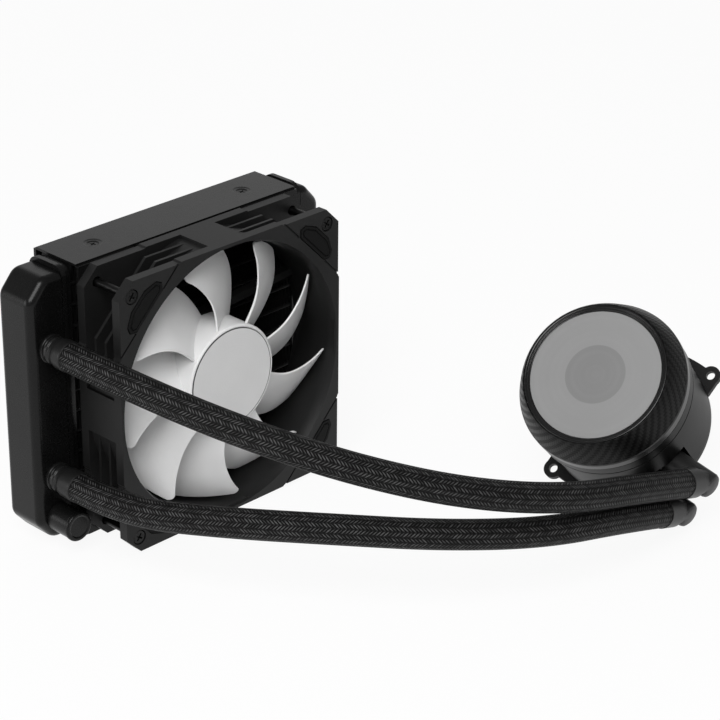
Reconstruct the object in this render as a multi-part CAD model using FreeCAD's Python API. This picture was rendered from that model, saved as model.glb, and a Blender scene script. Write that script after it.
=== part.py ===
import FreeCAD, Part
import math
import os

# All-in-one CPU liquid cooler: a 120 mm radiator with its fan, a round pump
# head and two braided hoses. Millimetres, +Z up. The radiator stands on the
# floor (z = 0) with its centre on the Z axis. X runs along the radiator and
# -Y is the side that the fan is on.

V = FreeCAD.Vector
X = V(1, 0, 0)
Y = V(0, 1, 0)
Z = V(0, 0, 1)

# Fan: its outer square sets the screw square, the duct and the radiator
FAN = 118.0
SCREW_PITCH = FAN - 13.0
FAN_D = 25.0
FLANGE_T = 4.3
DUCT_WALL = 2.0
BORE_R = FAN / 2 - DUCT_WALL
MOUTH_FLARE = 1.4
FAN_DX = -0.7
BLADES = 9
TIP_GAP = 1.2
TIP_R = BORE_R - TIP_GAP
TIP_ROUND = 2.6
HUB_R = 22.9
HUB_TO_FACE = 1.4
BLADE_FRONT = 3.0
BLADE_CHORD = 14.5
BLADE_T = 1.7
BLOCK_HALF = 8.7
RIB_T = 1.3

# Radiator
RAD_H = FAN + 1.4
CORE_HALF = FAN / 2 + 3.0
CHANNEL_GAP = 3.1
CHANNEL_HALF = CORE_HALF - CHANNEL_GAP
CHANNEL_D = 27.0
CHANNEL_STEP = 1.4
CHANNEL_LIP = 13.0
LIP_DROP = 0.8
SHEET = 1.0
PLATE_SCREW_X = 40.0
PLATE_SCREW_R = 3.4
HEADER_T = 2.0
TANK_L = 16.7
BARE_TANK_L = 11.6
TANK_FACE = CORE_HALF + HEADER_T
TANK_D = 20.0
TANK_DROP = 2.7
TANK_H = RAD_H - 2 * TANK_DROP
TANK_CHAMFER = 7.5
TANK_WALL = 2.2
HEADER_DROP = 0.6
HEADER_H = RAD_H - 2 * HEADER_DROP
TUBES = 12
TUBE_T = 1.8
TUBE_D = 18.0
FIN_FOLDS = 14
FIN_T = 0.35

# Pump head: the housing, the motor cover, the trim ring and the cap in a stack
FACE_EL = 44.2
FACE_AZ = -166.0
BODY_TOP = 35.0
COVER_H = 7.5
TRIM_H = 5.1
CAP_H = 11.4
BAND_Z = BODY_TOP + COVER_H + TRIM_H
PUMP_H = BAND_Z + CAP_H
BASE_R = 33.8
BAND_R = BASE_R + 1.3
FACE_R = BAND_R - 5.3
WINDOW_R = FACE_R - 2.4
EAR_AT = BASE_R + 4.6
EAR_R = 4.2
EAR_HOLE = 1.9
EAR_TURN = 47.4
ARCH_R = 62.0
ARCH_PROUD = 1.2
PUMP_X = 139.2
PUMP_Y = -134.3

# Hoses and fittings
HOSE_R = 6.0
HOSE_BORE = 3.4
BARB_X = -TANK_FACE - 7.0
BARB_UP = 87.1
BARB_LOW = 30.8
CUFF_UP = 12.2
CUFF_LOW = 14.4
BARB_BORE = 3.4
FILL_Z = 12.7
NECK_L = 11.2
NECK_R = 6.0
PORT_TURN = -18.3
PORT_H = 15.0
PORT_ACROSS = (5.6, 20.6)
PORT_FOOT = BASE_R - 6.8
PORT_OUT = BASE_R + 13.4
BARREL_R = 5.4
STUB = 9.3

ROUTE_UPPER = [
    V(-59.0, -102.4, 80.6),
    V(-36.0, -139.2, 70.0),
    V(-3.4, -167.0, 57.9),
    V(36.0, -183.5, 46.8),
]
ROUTE_LOWER = [
    V(-57.0, -91.7, 36.7),
    V(-34.4, -127.8, 39.4),
    V(-4.7, -158.0, 37.1),
    V(31.1, -178.2, 32.2),
]

# Each row: share of the tip radius, angles of the front and the rear edge
BLADE_ROWS = [
    (0.287, 66.0, 8.0),
    (0.434, 64.3, 16.4),
    (0.573, 63.7, 23.4),
    (0.690, 65.3, 28.0),
    (0.796, 68.2, 32.7),
    (0.896, 71.7, 38.2),
    (0.996, 74.8, 46.8),
    (1.183, 80.0, 58.0),
]

FAN_BACK = -CHANNEL_D / 2
FAN_FRONT = FAN_BACK - FAN_D
FAN_C = V(FAN_DX, 0, RAD_H / 2)


def box(x0, x1, y0, y1, z0, z1):
    return Part.makeBox(x1 - x0, y1 - y0, z1 - z0, V(x0, y0, z0))


def rod(r, start, way, length):
    return Part.makeCylinder(r, length, start, way)


def ring(r_out, r_in, start, way, length):
    return rod(r_out, start, way, length).cut(
        Part.makeCylinder(r_in, length, start, way)
    )


def fan_disc(r, y0, y1):
    return rod(r, FAN_C + V(0, y0, 0), Y, y1 - y0)


def fan_ring(r_out, r_in, y0, y1):
    return fan_disc(r_out, y0, y1).cut(fan_disc(r_in, y0, y1))


def prism(points, way):
    wire = Part.makePolygon(points + [points[0]])
    return Part.Face(wire).extrude(way)


def turned(profile, centre=V(0, 0, 0), way=Z):
    # profile holds (radius, distance along the axis)
    side = X if abs(way.x) < 0.5 else Z
    points = [centre + side * r + way * h for r, h in profile]
    wire = Part.makePolygon(points + [points[0]])
    return Part.Face(wire).revolve(centre, way, 360)


def join(shapes):
    first = shapes[0]
    return first.multiFuse(shapes[1:]).removeSplitter() if shapes[1:] else first


def turn(shape, angle, centre=V(0, 0, 0), way=Z):
    copy = shape.copy()
    copy.rotate(centre, way, angle)
    return copy


def around(shape, count, centre=V(0, 0, 0), way=Z):
    return [turn(shape, 360.0 * i / count, centre, way) for i in range(count)]


def mirror_x(shape):
    return shape.mirror(V(0, 0, 0), X)


os.makedirs("parts", exist_ok=True)
BUILT = {}


def save(name, shape):
    solids = shape.Solids if hasattr(shape, "Solids") else shape
    body = solids[0] if len(solids) == 1 else Part.makeCompound(solids)
    for s in solids:
        assert s.isValid() and s.Volume > 0, name
    body.exportStep(os.path.join("parts", name + ".step"))
    BUILT[name] = body
    print(name, len(solids), "solid(s)", round(sum(s.Volume for s in solids), 1), "mm3")


# Radiator core
half_d = CHANNEL_D / 2
top_d = half_d - CHANNEL_STEP
lip_t = CHANNEL_STEP + 0.1


def side_channel():
    # A folded side plate, built as the top one: web, two lips and screw holes
    web = box(-CHANNEL_HALF, CHANNEL_HALF, -top_d, top_d, RAD_H - SHEET, RAD_H)
    lips = []
    for s in (-1, 1):
        y0, y1 = sorted((s * (half_d - lip_t), s * half_d))
        lips.append(
            box(-CHANNEL_HALF, CHANNEL_HALF, y0, y1, RAD_H - CHANNEL_LIP, RAD_H - LIP_DROP)
        )
    plate = join([web] + lips)
    z = RAD_H / 2 + SCREW_PITCH / 2
    for x in (-SCREW_PITCH / 2, SCREW_PITCH / 2):
        start = V(x + FAN_DX, -half_d - 1, z)
        plate = plate.cut(rod(1.65, start, Y, half_d + 1))
        plate = plate.cut(rod(1.65, V(x, 0, z), Y, half_d + 1))
    for x in (-PLATE_SCREW_X, PLATE_SCREW_X):
        sink = V(x, 0, RAD_H)
        cone = Part.makeCone(PLATE_SCREW_R, 1.5, SHEET, sink, V(0, 0, -1))
        dimple = Part.makeCone(PLATE_SCREW_R + 0.7, PLATE_SCREW_R - 0.2, 0.3, sink, V(0, 0, -1))
        plate = plate.cut(cone).cut(dimple)
        plate = plate.cut(rod(1.5, sink, V(0, 0, -1), 3))
    for x in (-30.0, 26.0):
        notch = box(x, x + 1.6, -half_d - 1, -top_d, RAD_H - 3.0, RAD_H)
        plate = plate.cut(notch)
    return plate


top = side_channel()
bottom = turn(top, 180, V(0, 0, RAD_H / 2), X)
bottom = bottom.mirror(V(0, 0, 0), Y)
save("top_channel", top)
save("bottom_channel", bottom)


# Countersunk screws of the channels
def plate_screw(x):
    at = V(x, 0, RAD_H - 0.2)
    head = Part.makeCone(PLATE_SCREW_R - 0.5, 1.35, SHEET - 0.2, at, V(0, 0, -1))
    shank = rod(1.35, at - V(0, 0, SHEET - 0.2), V(0, 0, -1), 1.6)
    screw = head.fuse(shank)
    for a in (0, 90):
        slot = box(-1.7, 1.7, -0.35, 0.35, -0.7, 0.1)
        slot = turn(slot, a + 20)
        slot.translate(at)
        screw = screw.cut(slot)
    return screw


top_screws = [plate_screw(x) for x in (-PLATE_SCREW_X, PLATE_SCREW_X)]
low_screws = [turn(s, 180, V(0, 0, RAD_H / 2), X) for s in top_screws]
save("channel_screws", top_screws + low_screws)

# Flat tubes with corrugated fins between them
core_h = RAD_H - 2 * SHEET
row_h = (core_h - TUBES * TUBE_T) / (TUBES + 1)
tubes = []
for i in range(TUBES):
    z = SHEET + (i + 1) * row_h + i * TUBE_T
    flat = box(
        -CORE_HALF - 1.5,
        CORE_HALF + 1.5,
        -TUBE_D / 2 + TUBE_T / 2,
        TUBE_D / 2 - TUBE_T / 2,
        z,
        z + TUBE_T,
    )
    edges = [
        rod(
            TUBE_T / 2,
            V(-CORE_HALF - 1.5, s * (TUBE_D - TUBE_T) / 2, z + TUBE_T / 2),
            X,
            2 * CORE_HALF + 3,
        )
        for s in (-1, 1)
    ]
    tubes.append(join([flat] + edges))
save("flat_tubes", tubes)


def fin_row(z0, z1, half):
    step = 2 * half / (2 * FIN_FOLDS)
    crest = 0.6
    low, high = [], []
    for i in range(2 * FIN_FOLDS + 1):
        x = -half + i * step
        up = i % 2 == 1
        a = max(x - crest / 2, -half)
        b = min(x + crest / 2, half)
        zt = z1 if up else z0 + FIN_T
        zb = z1 - FIN_T if up else z0
        low += [V(a, 0, zb), V(b, 0, zb)]
        high += [V(a, 0, zt), V(b, 0, zt)]
    points = low + high[::-1]
    for p in points:
        p.y = -TUBE_D / 2
    return prism(points, V(0, TUBE_D, 0))


rows = []
for i in range(TUBES + 1):
    z = SHEET + i * (row_h + TUBE_T)
    rows.append(fin_row(z, z + row_h, CHANNEL_HALF + 0.5))
for x in (-PLATE_SCREW_X, PLATE_SCREW_X):
    rows[0] = rows[0].cut(rod(1.8, V(x, 0, 0), Z, SHEET + 2.0))
    rows[-1] = rows[-1].cut(rod(1.8, V(x, 0, RAD_H), V(0, 0, -1), SHEET + 2.0))
save("fins", rows)


# End tanks with their header plates
def tank(length):
    end = TANK_FACE + length
    h0 = (RAD_H - TANK_H) / 2
    h1 = RAD_H - h0
    c = TANK_CHAMFER
    outline = [
        V(-TANK_FACE, 0, h0),
        V(-end + c, 0, h0),
        V(-end, 0, h0 + c + 1),
        V(-end, 0, h1 - c - 1),
        V(-end + c, 0, h1),
        V(-TANK_FACE, 0, h1),
    ]
    for p in outline:
        p.y = -TANK_D / 2
    body = prism(outline, V(0, TANK_D, 0))
    corners, outer = [], []
    for e in body.Edges:
        if abs(e.tangentAt(e.FirstParameter).y) > 0.9 and e.CenterOfMass.x < -TANK_FACE - 0.5:
            corners.append(e)
    body = body.makeFillet(6.0, corners)
    for e in body.Edges:
        long_way = abs(e.tangentAt(e.FirstParameter).y) < 0.1
        if long_way and e.CenterOfMass.x < -TANK_FACE - 0.2:
            outer.append(e)
    body = body.makeFillet(3.4, outer)
    room = box(
        -end + TANK_WALL,
        -TANK_FACE,
        -TANK_D / 2 + TANK_WALL,
        TANK_D / 2 - TANK_WALL,
        h0 + TANK_CHAMFER + 3,
        h1 - TANK_CHAMFER - 3,
    )
    return body.cut(room)


def header():
    h0 = (RAD_H - HEADER_H) / 2
    flange = box(
        -TANK_FACE, -CORE_HALF, -TANK_D / 2 - 0.2, TANK_D / 2 + 0.2, h0, RAD_H - h0
    )
    corner = [
        e
        for e in flange.Edges
        if abs(e.tangentAt(e.FirstParameter).x) > 0.9
    ]
    flange = flange.makeFillet(5.0, corner)
    collar = box(
        -CORE_HALF, -CORE_HALF + 2.4, -TANK_D / 2 + 0.4, TANK_D / 2 - 0.4, 1.3, RAD_H - 1.3
    )
    round_end = [
        e
        for e in collar.Edges
        if abs(e.tangentAt(e.FirstParameter).x) > 0.9
    ]
    collar = collar.makeFillet(4.5, round_end)
    return flange.fuse(collar).removeSplitter()


left = tank(TANK_L)
plain_header = header().cut(Part.makeCompound(tubes))
save("left_header", plain_header)
save("right_header", mirror_x(plain_header))
right = mirror_x(tank(BARE_TANK_L))
for z in (BARB_UP, BARB_LOW):
    left = left.cut(rod(BARB_BORE, V(BARB_X, -TANK_D / 2 - 1, z), Y, 6))
left = left.cut(rod(NECK_R / 2, V(BARB_X, -TANK_D / 2 - 1, FILL_Z), Y, 6))
save("left_tank", left)
save("right_tank", right)

# Fill port
face_y = -TANK_D / 2
neck = ring(NECK_R, NECK_R / 2, V(BARB_X, face_y, FILL_Z), V(0, -1, 0), NECK_L)
save("fill_neck", neck)
cap_y = face_y - NECK_L
cap = turned(
    [
        (0, 0),
        (NECK_R + 0.3, 0),
        (NECK_R + 0.3, 1.2),
        (NECK_R - 0.1, 1.7),
        (NECK_R - 1.2, 1.7),
        (NECK_R - 1.5, 1.4),
        (0, 1.4),
    ],
    V(BARB_X, cap_y, FILL_Z),
    V(0, -1, 0),
)
plug = rod(NECK_R / 2 - 0.1, V(BARB_X, cap_y, FILL_Z), Y, 6.0)
save("fill_cap", cap.fuse(plug).removeSplitter())

# Hose barbs with two collars, and the sleeves' end cuffs
barbs, cuffs = [], []
for z, out in ((BARB_UP, CUFF_UP), (BARB_LOW, CUFF_LOW)):
    at = V(BARB_X, face_y, z)
    profile = [
        (BARB_BORE, 0),
        (6.0, 0),
        (6.0, 1.3),
        (5.1, 1.6),
        (5.1, 2.2),
        (5.7, 2.4),
        (5.7, 3.5),
        (5.2, 3.9),
        (5.2, 4.4),
        (4.4, 4.4),
        (4.4, out - 0.4),
        (BARB_BORE, out - 0.4),
    ]
    barbs.append(turned(profile, at, V(0, -1, 0)))
    profile = [
        (4.45, 4.4),
        (5.5, 4.4),
        (5.6, 6.0),
        (6.2, 7.4),
        (6.3, out - 0.6),
        (6.0, out),
        (4.45, out),
    ]
    cuffs.append(turned(profile, at, V(0, -1, 0)))
save("hose_barbs", barbs)
save("barb_cuffs", cuffs)


# Fan frame
def octagon(half, cut, proud=0.0):
    points = []
    for k in range(4):
        side = [(-half + cut, half)]
        if proud:
            side += [(-27.7, half), (-27.0, half + proud)]
            side += [(27.0, half + proud), (27.7, half)]
        side.append((half - cut, half))
        a = math.radians(-90 * k)
        for u, w in side:
            points.append(
                (u * math.cos(a) - w * math.sin(a), u * math.sin(a) + w * math.cos(a))
            )
    return points


def fan_plate(half, cut, y0, y1, proud=0.0):
    points = [FAN_C + V(u, y0, w) for u, w in octagon(half, cut, proud)]
    return prism(points, V(0, y1 - y0, 0))


FAN_HALF = FAN / 2
front_flange = fan_plate(FAN_HALF, 7.0, FAN_FRONT, FAN_FRONT + FLANGE_T, 0.6)
rear_flange = fan_plate(FAN_HALF, 7.0, FAN_BACK - FLANGE_T, FAN_BACK, 0.6)
duct = fan_disc(FAN_HALF, FAN_FRONT + 1, FAN_BACK - 1)
ribs = [
    fan_plate(FAN_HALF - 1.2, 8.0, y, y + RIB_T)
    for y in (FAN_FRONT + 9.8, FAN_FRONT + 15.8)
]
blocks = around(
    box(
        -BLOCK_HALF,
        BLOCK_HALF,
        FAN_FRONT + 1,
        FAN_BACK - 1,
        FAN_HALF - 9,
        FAN_HALF - 0.3,
    ),
    4,
    V(0, 0, 0),
    Y,
)
for b in blocks:
    b.translate(FAN_C)
frame = join([front_flange, rear_flange, duct] + ribs + blocks)
bore = turned(
    [
        (0, -0.1),
        (BORE_R + MOUTH_FLARE + 0.1, -0.1),
        (BORE_R + MOUTH_FLARE, 0),
        (BORE_R + MOUTH_FLARE - 0.5, 1.2),
        (BORE_R + 0.2, 3.2),
        (BORE_R, 5.5),
        (BORE_R, FAN_D - 4.0),
        (BORE_R + 0.8, FAN_D + 0.1),
        (0, FAN_D + 0.1),
    ],
    FAN_C + V(0, FAN_FRONT, 0),
    Y,
)
frame = frame.cut(bore)
corner_at = [
    (sx * SCREW_PITCH / 2, sz * SCREW_PITCH / 2) for sx in (-1, 1) for sz in (-1, 1)
]
holes = []
for u, w in corner_at:
    start = FAN_C + V(u, FAN_FRONT - 1, w)
    holes.append(rod(2.15, start, Y, FAN_D + 2))
    holes.append(rod(3.2, start, Y, 3.0))
frame = frame.cut(Part.makeCompound(holes))

# Corner pads of soft rubber, let into both flanges
CORNER_R = SCREW_PITCH / math.sqrt(2)
PAD_IN = CORNER_R - 12.25
PAD_OUT = CORNER_R - 3.85
PAD_DEPTH = 1.2


def pad_outline(grow=0.0):
    g = grow
    return [
        (PAD_IN - g, -9.6 - g),
        (PAD_IN - g, 9.6 + g),
        (PAD_IN + 2.6, 12.0 + g),
        (PAD_IN + 5.6, 10.8 + g),
        (PAD_OUT + g, 5.0 + g),
        (PAD_OUT + g, -5.0 - g),
        (PAD_IN + 5.6, -10.8 - g),
        (PAD_IN + 2.6, -12.0 - g),
    ]


def corner_prism(outline, y0, y1, angle):
    a = math.radians(angle)
    points = [
        FAN_C + V(r * math.cos(a) - t * math.sin(a), y0, r * math.sin(a) + t * math.cos(a))
        for r, t in outline
    ]
    return prism(points, V(0, y1 - y0, 0))


pads, seats = [], []
for k in range(4):
    angle = 45 + 90 * k
    seats.append(
        corner_prism(pad_outline(), FAN_FRONT - 1, FAN_FRONT + PAD_DEPTH, angle)
    )
    pads.append(
        corner_prism(pad_outline(-0.35), FAN_FRONT - 0.3, FAN_FRONT + PAD_DEPTH, angle)
    )
    seats.append(corner_prism(pad_outline(), FAN_BACK - PAD_DEPTH, FAN_BACK + 1, angle))
    pads.append(
        corner_prism(pad_outline(-0.35), FAN_BACK - PAD_DEPTH, FAN_BACK, angle)
    )
frame = frame.cut(Part.makeCompound(seats))

# Motor seat, bearing tube and four struts that leave the seat sideways
SEAT_R = HUB_R + 0.3
SEAT_Y = FAN_BACK - 6.3
seat = fan_disc(SEAT_R, SEAT_Y, FAN_BACK - 0.6)
seat = seat.cut(fan_disc(SEAT_R - 1.6, SEAT_Y + 2.4, FAN_BACK))
tube = fan_disc(5.0, FAN_FRONT + 7.0, SEAT_Y + 1)
struts = []
for k, wide in enumerate((3.2, 3.2, 5.4, 3.2)):
    bar = box(0, BORE_R + 0.6, SEAT_Y + 1.0, FAN_BACK - 1.2, -wide / 2, wide / 2)
    bar = turn(bar, -5.0, V(0, 0, 0), Y)
    bar.translate(V(0, 0, SEAT_R - wide / 2 - 0.4))
    bar = turn(bar, 90 * k, V(0, 0, 0), Y)
    bar.translate(FAN_C)
    struts.append(bar)
inside = fan_disc(BORE_R + 1.0, SEAT_Y, FAN_BACK)
struts = [b.common(inside) for b in struts]
motor = join([seat, tube] + struts)
motor = motor.cut(fan_disc(4.0, FAN_FRONT, SEAT_Y + 3.4))
frame = frame.fuse(motor).removeSplitter()
save("fan_frame", frame)
save("fan_pads", pads)

# Long screws that hold the fan to the radiator
screws = []
for u, w in corner_at:
    at = FAN_C + V(u, FAN_FRONT + 2.0, w)
    head = rod(2.8, at, V(0, -1, 0), 1.7)
    shank = rod(1.62, at, Y, FAN_D - 2.0 + 2.2)
    screw = head.fuse(shank)
    for a in (35, 125):
        slot = box(-1.8, 1.8, -1.0, 0.1, -0.35, 0.35)
        slot = turn(slot, a, V(0, 0, 0), Y)
        slot.translate(at + V(0, -1.6, 0) + V(0, 0.9, 0))
        screw = screw.cut(slot)
    screws.append(screw)
save("fan_screws", screws)


# Fan rotor: nine swept blades on a hub cup
def edge_angles(r):
    share = r / TIP_R
    for (s0, f0, b0), (s1, f1, b1) in zip(BLADE_ROWS, BLADE_ROWS[1:]):
        if share <= s1 or s1 == BLADE_ROWS[-1][0]:
            k = (share - s0) / (s1 - s0)
            return f0 + k * (f1 - f0), b0 + k * (b1 - b0)


BLADE_MID = 47.0


def blade_point(d, s):
    # s runs from the front edge (0) to the rear edge (1) at the distance d
    a = 0.0
    for _ in range(6):
        r = d / math.cos(math.radians(a))
        front, back = edge_angles(r)
        a = front + s * (back - front) - BLADE_MID
    y = FAN_FRONT + BLADE_FRONT + BLADE_CHORD * (s + 0.35 * s * (1 - s))
    return V(d, y, d * math.tan(math.radians(a)))


def blade_section(d):
    steps = [0.0, 0.25, 0.5, 0.75, 1.0]
    middle = [blade_point(d, s) for s in steps]
    front_side, back_side = [], []
    for i, p in enumerate(middle):
        a = middle[max(i - 1, 0)]
        b = middle[min(i + 1, len(middle) - 1)]
        along = (b - a).normalize()
        across = X.cross(along)
        half = BLADE_T / 2 * (0.45 + 2.2 * steps[i] * (1 - steps[i]))
        front_side.append(p + across * half)
        back_side.append(p - across * half)
    one = Part.BSplineCurve()
    one.interpolate(front_side)
    two = Part.BSplineCurve()
    two.interpolate(back_side[::-1])
    return Part.Wire(
        [
            one.toShape(),
            Part.makeLine(front_side[-1], back_side[-1]),
            two.toShape(),
            Part.makeLine(back_side[0], front_side[0]),
        ]
    )


def at_angle(r, angle):
    a = math.radians(angle)
    return V(r * math.cos(a), 0, r * math.sin(a))


def corner_cut(side):
    # What the rounding takes off a blade's tip corner: side 0 front, 1 rear
    tip = at_angle(TIP_R, edge_angles(TIP_R)[side])
    lower = at_angle(TIP_R - 4.0, edge_angles(TIP_R - 4.0)[side])
    down = (lower - tip).normalize()
    a = math.radians(edge_angles(TIP_R)[side])
    along = V(math.sin(a), 0, -math.cos(a)) * (1 if side == 0 else -1)
    middle = (down + along).normalize()
    half = down.getAngle(along) / 2
    centre = tip + middle * (TIP_ROUND / math.sin(half))
    reach = TIP_ROUND / math.tan(half)
    wedge = prism(
        [
            tip - middle * 3.0,
            tip + down * reach - middle * 3.0,
            tip + down * reach,
            centre,
            tip + along * reach,
            tip + along * reach - middle * 3.0,
        ],
        V(0, FAN_D + 2, 0),
    )
    round_off = rod(TIP_ROUND, centre, Y, FAN_D + 2)
    piece = wedge.cut(round_off)
    piece.translate(FAN_C + V(0, FAN_FRONT - 1, 0))
    return piece


def blade():
    inner = HUB_R - 5.9
    reach = TIP_R + 4.2 - inner
    steps = (0.0, 0.233, 0.442, 0.651, 0.814, 1.0)
    wires = [blade_section(inner + reach * k) for k in steps]
    raw = Part.makeLoft(wires, True, False)
    raw.rotate(V(0, 0, 0), Y, -BLADE_MID)
    raw.translate(V(FAN_C.x, 0, FAN_C.z))
    raw = raw.common(fan_disc(TIP_R, FAN_FRONT, FAN_BACK))
    return raw.cut(corner_cut(0)).cut(corner_cut(1))


HUB_Y = FAN_FRONT + HUB_TO_FACE
HUB_BACK = FAN_BACK - 7.1
first_blade = blade()
blades = around(first_blade, BLADES, FAN_C, Y)
hub = turned(
    [(0, 0), (HUB_R - 0.7, 0), (HUB_R, 0.7), (HUB_R, HUB_BACK - HUB_Y), (0, HUB_BACK - HUB_Y)],
    FAN_C + V(0, HUB_Y, 0),
    Y,
)
rotor = join([hub] + blades)
rotor = rotor.cut(fan_disc(HUB_R - 1.5, HUB_Y + 1.9, HUB_BACK + 2))
rotor = rotor.cut(fan_disc(HUB_R - 1.1, HUB_Y - 1, HUB_Y + 0.35))
boss = fan_ring(3.6, 1.5, HUB_Y + 1.2, HUB_Y + 4.4)
rotor = rotor.fuse(boss)
rotor = rotor.cut(fan_disc(1.5, HUB_Y + 1.0, HUB_Y + 6.0)).removeSplitter()
save("fan_rotor", rotor)
save("hub_disc", fan_disc(HUB_R - 1.45, HUB_Y - 0.05, HUB_Y + 0.35))
save("flux_ring", fan_ring(HUB_R - 1.5, HUB_R - 2.6, HUB_Y + 1.9, HUB_BACK))
save("magnet_ring", fan_ring(HUB_R - 2.6, HUB_R - 5.0, HUB_Y + 2.6, HUB_BACK))
SHAFT_END = FAN_BACK - 2.9
shaft = fan_disc(1.5, HUB_Y + 1.0, SHAFT_END)
CLIP_Y = SHAFT_END - 1.0
shaft = shaft.cut(fan_ring(1.6, 1.2, CLIP_Y, CLIP_Y + 0.5))
save("fan_shaft", shaft)
clip = fan_ring(2.9, 1.22, CLIP_Y, CLIP_Y + 0.5)
gap = box(-0.5, 0.5, CLIP_Y - 1, CLIP_Y + 2, 0, 4)
gap.translate(V(FAN_C.x, 0, FAN_C.z))
save("shaft_clip", clip.cut(gap))
save("fan_bearing", fan_ring(4.0, 1.55, FAN_FRONT + 7.2, SEAT_Y + 1.6))


# Four-pole stator, its windings and the circuit board
def stator_core(y0, y1, r_in, r_tip, arm, poles):
    core = ring(r_in + 2.6, r_in, V(0, y0, 0), Y, y1 - y0)
    shoes = ring(r_tip, r_tip - 1.6, V(0, y0, 0), Y, y1 - y0)
    slot = box(r_tip - 3, r_tip + 2, y0 - 1, y1 + 1, -1.6, 1.6)
    for s in around(turn(slot, 180.0 / poles, V(0, 0, 0), Y), poles, V(0, 0, 0), Y):
        shoes = shoes.cut(s)
    arms = around(
        box(r_in + 1, r_tip - 0.8, y0, y1, -arm / 2, arm / 2), poles, V(0, 0, 0), Y
    )
    return join([core, shoes] + arms)


def windings(y0, y1, a, b, arm, thick, poles):
    coil = box(a, b, y0 - thick, y1 + thick, -arm / 2 - thick, arm / 2 + thick)
    coil = coil.cut(box(a - 1, b + 1, y0, y1, -arm / 2, arm / 2))
    return around(coil, poles, V(0, 0, 0), Y)


motor_room = SEAT_Y - HUB_Y
ST0 = HUB_Y + 0.347 * motor_room
ST1 = HUB_Y + 0.636 * motor_room
STATOR_R = HUB_R - 5.9
stator = stator_core(ST0, ST1, 5.0, STATOR_R, 4.0, 4)
stator.translate(FAN_C)
save("fan_stator", stator)
coils = windings(ST0, ST1, 8.0, STATOR_R - 2.4, 4.0, 1.5, 4)
for c in coils:
    c.translate(FAN_C)
save("fan_windings", coils)
board = fan_ring(STATOR_R - 1.0, 5.0, SEAT_Y - 1.2, SEAT_Y)
save("fan_board", board)

# Pump head, built upright on its base centre and then turned to its pose
el = math.radians(FACE_EL)
az = math.radians(FACE_AZ)
n_way = V(math.cos(el) * math.cos(az), math.cos(el) * math.sin(az), math.sin(el))
a_way = V(-math.sin(az), math.cos(az), 0)
b_way = n_way.cross(a_way)
PUMP_AT = V(PUMP_X, PUMP_Y, BASE_R * math.cos(el))
turned_pose = FreeCAD.Matrix(
    a_way.x, b_way.x, n_way.x, PUMP_AT.x,
    a_way.y, b_way.y, n_way.y, PUMP_AT.y,
    a_way.z, b_way.z, n_way.z, PUMP_AT.z,
    0, 0, 0, 1,
)
POSE = FreeCAD.Placement(turned_pose)


def in_pose(shape):
    copy = shape.copy()
    copy.Placement = POSE.multiply(copy.Placement)
    return copy


def pump_save(name, shape):
    solids = shape.Solids if hasattr(shape, "Solids") else shape
    save(name, [in_pose(s) for s in solids])


O = V(0, 0, 0)
ports = math.radians(PORT_TURN)
port_way = V(math.cos(ports), math.sin(ports), 0)
across_way = V(math.sin(ports), -math.cos(ports), 0)

# Mounting plate with four ears, and the copper cold plate in its middle
PLATE_T = 2.6
plate = rod(BASE_R, O, Z, PLATE_T)
ear_xy = EAR_AT / math.sqrt(2)
arched = box(-ear_xy, ear_xy, -BASE_R - 4, BASE_R + 4, 0, PLATE_T)
for side in (1, -1):
    arch_mid = V(0, side * (BASE_R + ARCH_PROUD - ARCH_R), 0)
    arched = arched.common(rod(ARCH_R, arch_mid, Z, PLATE_T))
neck = prism(
    [
        V(ear_xy + EAR_R, ear_xy, 0),
        V(ear_xy + 1.4, ear_xy - 8.6, 0),
        V(ear_xy - 7.0, ear_xy - 8.6, 0),
        V(ear_xy - 7.0, ear_xy, 0),
    ],
    V(0, 0, PLATE_T),
)
neck = neck.fuse(rod(EAR_R, V(ear_xy, ear_xy, 0), Z, PLATE_T))
necks = [neck, neck.mirror(O, X)]
necks += [n.mirror(O, Y) for n in necks]
corners = join([arched] + necks)
plate = join([plate, turn(corners, EAR_TURN - 45)])
ear_holes = [turn(h, EAR_TURN) for h in around(rod(EAR_HOLE, V(EAR_AT, 0, -1), Z, 6), 4)]
plate = plate.cut(Part.makeCompound(ear_holes))
COPPER_R = BASE_R - 5.8
plate = plate.cut(rod(COPPER_R, V(0, 0, -1), Z, 6))
pump_save("mount_plate", plate)
copper = rod(COPPER_R, V(0, 0, -1.5), Z, 1.5 + PLATE_T)
grooves = [
    box(-13, 13, w - 0.55, w + 0.55, PLATE_T - 1.2, PLATE_T + 1)
    for w in [-11 + 2.2 * i for i in range(11)]
]
copper = copper.cut(Part.makeCompound(grooves))
SCREW_RING = BASE_R - 8.6
at = V(SCREW_RING, 0, -1.5)
seats8 = [turn(s, 22.5) for s in around(rod(1.25, at, Z, 8), 8)]
sinks8 = [
    turn(s, 22.5)
    for s in around(Part.makeCone(2.5, 1.25, 1.3, at, Z), 8)
]
copper = copper.cut(Part.makeCompound(seats8 + sinks8))
pump_save("cold_plate", copper)
screw = Part.makeCone(2.45, 1.22, 1.28, at, Z)
screw = screw.fuse(rod(1.2, at + V(0, 0, 1.2), Z, 6.5))
pump_save("base_screws", [turn(s, 22.5) for s in around(screw, 8)])

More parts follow.
